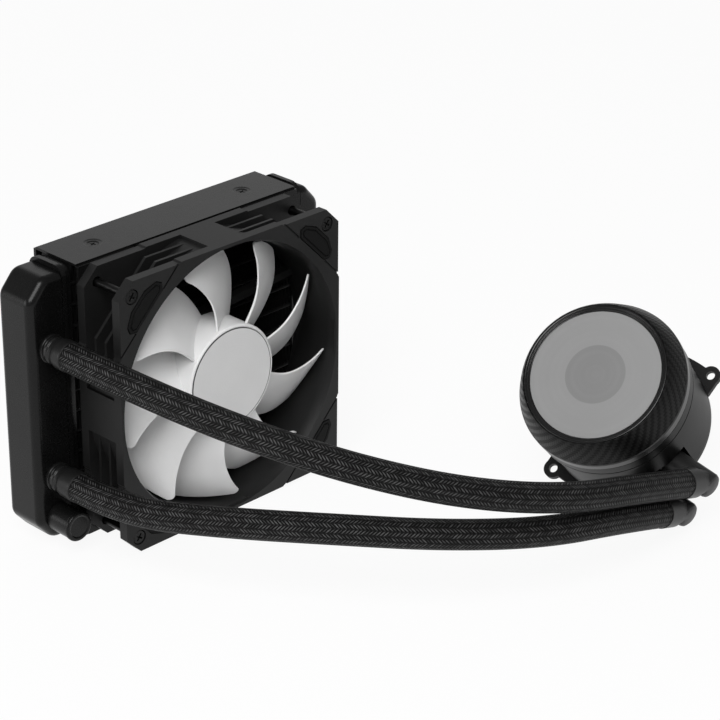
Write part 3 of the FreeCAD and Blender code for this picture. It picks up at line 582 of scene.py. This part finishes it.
def tube_along(name, points, distances, radius, sides):
    made = bmesh.new()
    heading = (points[1] - points[0]).normalized()
    facing = heading.to_track_quat("Z", "Y").to_matrix()
    start = Matrix.Translation(points[0]) @ facing.to_4x4()
    bmesh.ops.create_circle(made, segments=sides, radius=radius, matrix=start)
    rim = list(made.edges)
    for last, here, following in zip(points, points[1:], points[2:] + points[-1:]):
        grown = bmesh.ops.extrude_edge_only(made, edges=rim)["geom"]
        corners = [g for g in grown if isinstance(g, bmesh.types.BMVert)]
        rim = [g for g in grown if isinstance(g, bmesh.types.BMEdge)]
        new_heading = (following - last).normalized()
        spin = heading.rotation_difference(new_heading).to_matrix()
        bmesh.ops.translate(made, verts=corners, vec=here - last)
        bmesh.ops.rotate(made, verts=corners, cent=here, matrix=spin)
        heading = new_heading
    made.verts.index_update()
    layer = made.loops.layers.uv.new("sleeve")
    for face in made.faces:
        rounds = [(c.vert.index % sides) / sides for c in face.loops]
        seam = max(rounds) - min(rounds) > 0.5
        for corner, turn_at in zip(face.loops, rounds):
            at = distances[corner.vert.index // sides]
            whole = 1.0 if seam and turn_at < 0.5 else 0.0
            corner[layer].uv = (at, turn_at + whole)
        face.smooth = True
    ends = [e for e in made.edges if e.is_boundary]
    bmesh.ops.holes_fill(made, edges=ends, sides=sides)
    bmesh.ops.recalc_face_normals(made, faces=made.faces)
    mesh = bpy.data.meshes.new(name)
    made.to_mesh(mesh)
    made.free()
    piece = bpy.data.objects.new(name, mesh)
    bpy.context.collection.objects.link(piece)
    return piece


for name, real in (("upper", 0.299), ("lower", 0.273)):
    points, far = lines[name]
    hose = tube_along("sleeve_" + name, points, far, HOSE_R, SIDES)
    hose.data.materials.append(sleeve_braid)
    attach(hose, "cooler")
    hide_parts("hose_" + name)
    print(hose.name, len(hose.data.polygons), "faces")

# %% [markdown]
# ## Soft edges on the solid pieces
# The solid model has knife-sharp edges. Real moulded and stamped edges are
# rounded by a few tenths of a millimetre, and that thin line of light is what
# makes a black object readable. A copy of each piece is merged, its flat
# faces are joined, and a Bevel modifier rounds its sharp edges. Curved walls
# are shaded smooth.

# %% Dress a solid piece
SAME_PLACE = 0.000002
FLAT_DEG = 0.6
SHARP_DEG = 32.0


def solid_copy(node):
    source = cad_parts[node]
    made = bmesh.new()
    made.from_mesh(source.data)
    made.transform(source.matrix_world)
    bmesh.ops.remove_doubles(made, verts=made.verts, dist=SAME_PLACE)
    return made


def join_flats(made):
    bmesh.ops.dissolve_limit(
        made,
        angle_limit=math.radians(FLAT_DEG),
        verts=made.verts,
        edges=made.edges,
        delimit={"NORMAL"},
    )


def new_piece(name, made, material):
    mesh = bpy.data.meshes.new(name)
    made.to_mesh(mesh)
    made.free()
    mesh.materials.append(material)
    piece = bpy.data.objects.new(name, mesh)
    bpy.context.collection.objects.link(piece)
    return piece


def show(made, node, material, edge, body="cooler"):
    # edge: how wide the piece's sharp edges are rounded, in mm
    sharp = math.radians(SHARP_DEG)
    for e in made.edges:
        e.smooth = len(e.link_faces) == 2 and e.calc_face_angle(0.0) < sharp
    for f in made.faces:
        f.smooth = True
    piece = new_piece(node + "_look", made, material)
    bevel = piece.modifiers.new("soft_edge", "BEVEL")
    bevel.width = edge / 1000
    bevel.segments = 2
    bevel.limit_method = "ANGLE"
    bevel.angle_limit = sharp
    settle = piece.modifiers.new("flat_faces", "WEIGHTED_NORMAL")
    settle.keep_sharp = True
    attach(piece, body)
    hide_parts(node)
    return piece


def dress(node, material, edge, body="cooler"):
    made = solid_copy(node)
    join_flats(made)
    return show(made, node, material, edge, body)


# each row: a node, its finish, the width of its edges and a body if not "cooler"
dressed = (
    ("top_channel", radiator_paint, 0.25),
    ("bottom_channel", radiator_paint, 0.25),
    ("left_header", radiator_paint, 0.3),
    ("right_header", radiator_paint, 0.3),
    ("left_tank", radiator_paint, 0.5),
    ("right_tank", radiator_paint, 0.5),
    ("fill_neck", radiator_paint, 0.25),
    ("fill_cap", radiator_paint, 0.3),
    ("hose_barbs", barb_paint, 0.15),
    ("barb_cuffs", cuff_rubber, 0.2),
    ("mount_plate", mount_paint, 0.3),
    ("pump_body", pump_plastic, 0.4),
    ("hub_disc", disc_film, 0.1, "fan"),
    ("fan_screws", dark_screw, 0.1),
    ("cold_plate", copper, 0.15),
    ("base_screws", dark_screw, 0.08),
)
for row in dressed:
    dress(*row)
print(len(dressed), "pieces dressed")

# %% [markdown]
# ## The fan frame's side
# Between its two flanges the frame has a middle block on each side and two ribs
# that bend in towards the corners. Four cutters in the shape of an angle clear
# the corners, and four plates bring the blocks level with the flanges. Short
# slots beside each corner pad go into the front face. Boolean modifiers do the
# work, and the result is read back as a plain mesh.

# %% Fan frame
# lengths in mm
FAN_HALF = 59.0
FAN_FRONT = -38.5
FAN_BACK = -13.5
FLANGE_T = 4.3
BLOCK_HALF = 9.2
RIB_HALF = 58.2
RIB_BEND = 31.1
SLOT_HALF = 0.28
SLOT_ENDS = ((51.0, 36.7), (61.0, 26.7))
SLOT_DEPTH = 0.7
PLATE_FROM = 57.5
PLATE_RISE = 0.6
PAST = 1.0


def prism(made, outline, y0, y1, quarter):
    # outline: (across, up) from the fan's centre, turned by quarters of a turn
    spin = Matrix.Rotation(quarter * math.pi / 2, 3, "Y")
    corners = [made.verts.new(FAN_C + spin @ mm(u, y0, w)) for u, w in outline]
    face = made.faces.new(corners)
    grown = bmesh.ops.extrude_face_region(made, geom=[face])["geom"]
    moved = [g for g in grown if isinstance(g, bmesh.types.BMVert)]
    bmesh.ops.translate(made, verts=moved, vec=mm(0, y1 - y0, 0))


def combine(piece, made, operation):
    bmesh.ops.recalc_face_normals(made, faces=made.faces)
    tool = new_piece("tool", made, fan_plastic)
    change = piece.modifiers.new("change", "BOOLEAN")
    change.operation = operation
    change.solver = "EXACT"
    change.object = tool
    graph = bpy.context.evaluated_depsgraph_get()
    mesh = bpy.data.meshes.new_from_object(piece.evaluated_get(graph))
    piece.modifiers.clear()
    piece.data = mesh
    bpy.data.objects.remove(tool)


frame_solid = new_piece("frame_solid", solid_copy("fan_frame"), fan_plastic)
outside = FAN_HALF + 2 * PAST
bend = [
    (BLOCK_HALF, outside),
    (BLOCK_HALF, RIB_HALF),
    (RIB_BEND, RIB_HALF),
    (RIB_HALF, RIB_BEND),
    (RIB_HALF, BLOCK_HALF),
    (outside, BLOCK_HALF),
    (outside, outside),
]
(a0, b0), (a1, b1) = SLOT_ENDS
h = SLOT_HALF
slot = [(a0 - h, b0 - h), (a0 + h, b0 + h), (a1 + h, b1 + h), (a1 - h, b1 - h)]
other_slot = [(b, a) for a, b in slot]
cutter = bmesh.new()
for quarter in range(4):
    prism(cutter, bend, FAN_FRONT + FLANGE_T, FAN_BACK - FLANGE_T, quarter)
    for outline in (slot, other_slot):
        prism(cutter, outline, FAN_FRONT - PAST, FAN_FRONT + SLOT_DEPTH, quarter)
combine(frame_solid, cutter, "DIFFERENCE")
flush = FAN_HALF + PLATE_RISE
plate = [
    (-BLOCK_HALF, PLATE_FROM),
    (BLOCK_HALF, PLATE_FROM),
    (BLOCK_HALF, flush),
    (-BLOCK_HALF, flush),
]
plates = bmesh.new()
for quarter in range(4):
    prism(plates, plate, FAN_FRONT + PAST, FAN_BACK - PAST, quarter)
combine(frame_solid, plates, "UNION")
made = bmesh.new()
made.from_mesh(frame_solid.data)
bpy.data.objects.remove(frame_solid)
bmesh.ops.remove_doubles(made, verts=made.verts, dist=SAME_PLACE)
join_flats(made)
frame_look = show(made, "fan_frame", fan_plastic, 0.25)
print("fan frame:", len(frame_look.data.polygons), "faces")

# %% [markdown]
# ## Blade tips
# The front edge of each blade sweeps forward over its last few millimetres. In
# the copy of the rotor, points near the tips turn a little about the fan's
# axis: the most at the front edge, not at all at the rear one.

# %% Sweep the tips
# lengths in mm, the turn in degrees
TIP_R = 55.8
TIP_FROM = 45.5
TIP_TURN = 1.8
BLADE_FRONT = 3.0
BLADE_CHORD = 14.5
made = solid_copy("fan_rotor")
for v in made.verts:
    out = v.co - FAN_C
    far = (math.hypot(out.x, out.z) * 1000 - TIP_FROM) / (TIP_R - TIP_FROM)
    if far > 0:
        rear = (v.co.y * 1000 - FAN_FRONT - BLADE_FRONT) / BLADE_CHORD
        share = min(far, 1.0) ** 2 * (1 - min(max(rear, 0.0), 1.0))
        spin = Matrix.Rotation(-math.radians(TIP_TURN) * share, 3, "Y")
        v.co = FAN_C + spin @ out
join_flats(made)
rotor_look = show(made, "fan_rotor", blade_white, 0.3, "fan")
print("rotor:", len(rotor_look.data.polygons), "faces")

# %% [markdown]
# ## Corner pads and top screws
# Each front pad has a raised middle inside a rim. Insets of its face make the
# rim, the groove and the raised part. The side plates' screws sit deep in their
# dimples, so their copies are made a little smaller and sunk.

# %% Pads and sunk screws
# rim, groove wall, groove floor and raised middle: how far in, and how far out
PAD_STEPS = ((1.0, 0.0), (0.15, -0.35), (0.3, 0.0), (0.15, 0.5))
PAD_AREA = 0.00002
FRONT_ZONE = 3
made = solid_copy("fan_pads")
join_flats(made)
fronts = [f for f in made.faces if f.normal.y < -0.9 and f.calc_area() > PAD_AREA]
front_end = (FAN_FRONT + FRONT_ZONE) / 1000
fronts = [f for f in fronts if f.calc_center_median().y < front_end]
for thick, rise in PAD_STEPS:
    bmesh.ops.inset_region(
        made,
        faces=fronts,
        thickness=thick / 1000,
        depth=rise / 1000,
        use_even_offset=True,
    )
show(made, "fan_pads", pad_rubber, 0.06)
print("pads with a raised middle:", len(fronts))

PLATE_SCREW_X = 40.0
RAD_H = 119.4
SCREW_SIZE = 0.8
SCREW_SINK = 0.00045
made = solid_copy("channel_screws")
for v in made.verts:
    axis_x = math.copysign(PLATE_SCREW_X / 1000, v.co.x)
    v.co.x = axis_x + (v.co.x - axis_x) * SCREW_SIZE
    v.co.y *= SCREW_SIZE
    v.co.z += -SCREW_SINK if v.co.z > RAD_H / 2000 else SCREW_SINK
join_flats(made)
show(made, "channel_screws", dark_screw, 0.06)
print("side plate screws sunk")

# %% [markdown]
# ## The pump head's rings
# The motor cover, trim ring, tapered cap, bezel and window are all round, so
# each is a profile of radius and height that is spun about the pump head's
# axis. Curved stretches of a profile are bent through three points.

# %% Spin the rings
# lengths in mm; the pane's are below the pump head's top
BODY_TOP = 35.0
BAND_Z = 47.6
BAND_R = 35.1
BEZEL_R = 29.9
WINDOW_R = 27.4
PANE_BOTTOM = 2.1
PANE_TOP = 0.8
TURNS = 144


def bent(a, b, c, steps=14):
    # a curve from a through b to c
    places = []
    for k in range(steps + 1):
        s = k / steps
        weights = ((1 - s) * (1 - 2 * s), 4 * s * (1 - s), s * (2 * s - 1))
        pairs = list(zip(weights, (a, b, c)))
        places.append(tuple(sum(w * p[i] for w, p in pairs) for i in (0, 1)))
    return places


def spun(node, profile, material, edge):
    made = bmesh.new()
    corners = [made.verts.new(mm(r, 0, h)) for r, h in profile]
    rims = [made.edges.new(pair) for pair in zip(corners, corners[1:] + corners[:1])]
    bmesh.ops.spin(
        made,
        geom=corners + rims,
        cent=(0, 0, 0),
        axis=(0, 0, 1),
        angle=2 * math.pi,
        steps=TURNS,
        use_merge=True,
    )
    bmesh.ops.remove_doubles(made, verts=made.verts, dist=SAME_PLACE)
    bmesh.ops.recalc_face_normals(made, faces=made.faces)
    made.transform(pump_pose)
    return show(made, node, material, edge)


cover = [
    (0, BODY_TOP),
    (BAND_R, BODY_TOP),
    (BAND_R, BODY_TOP + 1.7),
    (BAND_R - 0.5, BODY_TOP + 1.8),
    (BAND_R - 0.5, BODY_TOP + 2.2),
    (BAND_R, BODY_TOP + 2.3),
    (BAND_R, BODY_TOP + 7.5),
    (BAND_R - 4.4, BODY_TOP + 7.5),
    (BAND_R - 4.4, BODY_TOP + 2.0),
    (0, BODY_TOP + 2.0),
]
trim = [
    (BAND_R - 9.4, BAND_Z - 1.4),
    (BAND_R - 4.4, BAND_Z - 1.4),
    (BAND_R - 4.4, BAND_Z - 5.1),
    (BAND_R - 0.7, BAND_Z - 5.1),
    (BAND_R - 0.7, BAND_Z - 4.6),
    (BAND_R + 0.3, BAND_Z - 4.2),
    (BAND_R + 0.3, BAND_Z - 0.5),
    (BAND_R - 0.1, BAND_Z - 0.1),
    (BAND_R - 9.4, BAND_Z - 0.1),
]
cap = bent(
    (BAND_R, BAND_Z), (BAND_R - 2.5, PUMP_H - 4.6), (BEZEL_R + 0.4, PUMP_H - 0.15)
)
cap += [(BEZEL_R + 0.1, PUMP_H - 0.05), (BEZEL_R + 0.05, PUMP_H - 3.2)]
cap += bent(
    (BEZEL_R - 0.4, PUMP_H - 3.2), (BAND_R - 4.6, PUMP_H - 5.4), (BAND_R - 2.4, BAND_Z)
)
bezel = [
    (WINDOW_R - 1.8, PUMP_H - 3.0),
    (BEZEL_R, PUMP_H - 3.0),
    (BEZEL_R, PUMP_H - 0.2),
]
bezel += bent(
    (BEZEL_R - 0.1, PUMP_H + 0.05),
    (BEZEL_R - 0.5, PUMP_H + 0.2),
    (BEZEL_R - 1.0, PUMP_H),
    6,
)
bezel += [
    (BEZEL_R - 1.3, PUMP_H - 0.35),
    (WINDOW_R + 0.7, PUMP_H - 0.4),
    (WINDOW_R + 0.35, PUMP_H - 0.8),
    (WINDOW_R, PUMP_H - 0.9),
    (WINDOW_R, PUMP_H - PANE_BOTTOM),
    (WINDOW_R - 1.8, PUMP_H - PANE_BOTTOM),
]
pane = [
    (0, PUMP_H - PANE_BOTTOM),
    (WINDOW_R - 0.02, PUMP_H - PANE_BOTTOM),
    (WINDOW_R - 0.02, PUMP_H - PANE_TOP),
    (0, PUMP_H - PANE_TOP),
]
for node, profile, material, edge in (
    ("motor_cover", cover, pump_plastic, 0.06),
    ("trim_ring", trim, trim_paint, 0.12),
    ("cap_shell", cap, carbon_twill, 0.1),
    ("bezel_ring", bezel, bezel_plastic, 0.08),
    ("window", pane, window_grey, 0.12),
):
    ring = spun(node, profile, material, edge)
    print(node, len(ring.data.polygons), "faces")

# %% [markdown]
# ## The elbows' collars
# Each elbow gets the smooth collar that holds the end of the sleeve.

# %% Collars
COLLAR_R = 6.3
COLLAR_L = 8.5
COLLAR_LAP = 0.0004
for name, route in (("upper", UPPER), ("lower", LOWER)):
    made = solid_copy("elbow_" + name)
    join_flats(made)
    end = mm(*route[-1])
    along = (mm(*route[-2]) - end).normalized()
    place = Matrix.Translation(end + along * (COLLAR_L / 2000 - COLLAR_LAP))
    place = place @ along.to_track_quat("Z", "Y").to_matrix().to_4x4()
    bmesh.ops.create_cone(
        made,
        cap_ends=True,
        segments=48,
        radius1=COLLAR_R / 1000,
        radius2=COLLAR_R / 1000,
        depth=COLLAR_L / 1000,
        matrix=place,
    )
    show(made, "elbow_" + name, elbow_plastic, 0.3)
print("elbows dressed")

# %% [markdown]
# ## Fine fins
# A radiator's fins are a thin strip folded into a zigzag between the flat
# tubes, far finer than the solid model's. Each strip starts as one short edge
# across the core's depth, is extruded from fold to fold, and gets its thickness
# from Solidify.

# %% Fins
# lengths in mm, but the strip's thickness in metres
ROWS = 13
FOLDS = 62
FIN_HALF = 59.2
FIN_DEPTH = 9.0
SHEET = 1.0
TUBE_T = 1.8
ROW_GAP = 0.1
FOLD_FLAT = 0.3
FIN_T = 0.00012
row_h = (RAD_H - 2 * SHEET - (ROWS - 1) * TUBE_T) / ROWS
step = FIN_HALF / FOLDS
strips = bmesh.new()
for i in range(ROWS):
    low = SHEET + i * (row_h + TUBE_T) + ROW_GAP
    high = low + row_h - 2 * ROW_GAP
    start = [strips.verts.new(mm(-FIN_HALF, y, low)) for y in (-FIN_DEPTH, FIN_DEPTH)]
    rim = [strips.edges.new(start)]
    for k in range(2 * FOLDS):
        rise = high - low if k % 2 == 0 else low - high
        for move in (mm(FOLD_FLAT, 0, 0), mm(step - FOLD_FLAT, 0, rise)):
            grown = bmesh.ops.extrude_edge_only(strips, edges=rim)["geom"]
            rim = [g for g in grown if isinstance(g, bmesh.types.BMEdge)]
            corners = [g for g in grown if isinstance(g, bmesh.types.BMVert)]
            bmesh.ops.translate(strips, verts=corners, vec=move)
fins = new_piece("fine_fins", strips, core_paint)
thick = fins.modifiers.new("sheet", "SOLIDIFY")
thick.thickness = FIN_T
thick.offset = 0
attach(fins, "cooler")
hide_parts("fins")
print("fine fins:", len(fins.data.polygons), "faces")

# %% [markdown]
# ## The pieces that stay as they are
# Inner pieces and the flat tubes keep their solids, and only take a finish.

# %% Paint the other solids
plain = {
    "flat_tubes": core_paint,
    "flux_ring": bright_steel,
    "magnet_ring": magnet_grey,
    "fan_shaft": bright_steel,
    "shaft_clip": nylon,
    "fan_bearing": bronze,
    "fan_stator": bright_steel,
    "fan_windings": winding,
    "fan_board": board_green,
    "base_seal": seal_rubber,
    "impeller": impeller_plastic,
    "impeller_pin": ceramic,
    "pump_stator": bright_steel,
    "pump_windings": winding,
    "pump_board": board_green,
    "light_board": board_green,
    "light_chips": chip_yellow,
}
for node, material in plain.items():
    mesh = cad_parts[node].data
    mesh.materials.clear()
    mesh.materials.append(material)
print(len(plain), "solids painted")

# %% [markdown]
# ## Floor and light
# The cooler stands on a plain pale floor. Three wide soft lamps light it: the
# key lamp from the upper left in front, a weak one from behind and a low one
# from the left. The world adds an even soft grey. The camera and mirror-like
# surfaces see the floor as almost white, with only a trace of its shadows.

# %% Floor
FLOOR_Z = -0.0009
FLOOR_WHITE = 0.92
bpy.ops.mesh.primitive_plane_add(size=6, location=(0, 0, FLOOR_Z))
floor = bpy.context.object
floor.name = "floor"
floor_pale, wire, shader = start_finish(
    "floor_pale", Roughness=0.9, Specular_IOR_Level=0.1
)
dust = noise(wire, place_on_object(wire), 3.0)
put(dust.step(0.2, 0.8).blend(grey(0.9), grey(0.92)), shader, "Base Color")
rays = wire.node("LightPath").socket.node.outputs
seen = Wire(wire.tree, rays["Is Camera Ray"])
for name in ("Is Glossy Ray", "Is Transmission Ray"):
    seen = wire.maths("MAXIMUM", seen, Wire(wire.tree, rays[name]))
white = wire.node("Emission", {}, {"Color": grey(1.0), "Strength": 1.0})
pale = Wire(wire.tree, shader.outputs[0])
floor_look = wire.node("MixShader", {}, {0: seen * FLOOR_WHITE, 1: pale, 2: white})
surface = wire.tree.nodes["Material Output"].inputs["Surface"]
wire.tree.links.new(floor_look.socket, surface)
floor.data.materials.append(floor_pale)
floor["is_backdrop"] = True

# %% Lamps and world
WORLD_GREY = 0.3


def soft_lamp(name, place, aim, size, power):
    data = bpy.data.lights.new(name, "AREA")
    data.shape = "RECTANGLE"
    data.size, data.size_y = size
    data.energy = power
    lamp = bpy.data.objects.new(name, data)
    bpy.context.collection.objects.link(lamp)
    lamp.location = place
    ahead = Vector(aim) - Vector(place)
    lamp.rotation_euler = ahead.to_track_quat("-Z", "Y").to_euler()


soft_lamp("key", (-1.0, -0.7, 1.3), (0, -0.05, 0.05), (1.0, 1.0), 25)
soft_lamp("behind", (1.1, 1.1, 0.85), (0, 0, 0.08), (1.5, 1.0), 2.5)
soft_lamp("left", (-1.4, 0.7, 0.35), (-0.07, 0, 0.06), (0.9, 0.6), 6)

world = bpy.data.worlds.new("tent")
bpy.context.scene.world = world
world.use_nodes = True
backdrop = world.node_tree.nodes["Background"]
backdrop.inputs["Color"].default_value = grey(WORLD_GREY)
print("lamps and world ready")

# %% [markdown]
# ## The size
# The box round all the shown dressed pieces, leaving out the floor, is printed. The
# dressed cooler has to stay inside the solid model's box.

# %% Sizes
low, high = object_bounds()
print("visual box", [round(v, 4) for v in low], [round(v, 4) for v in high])
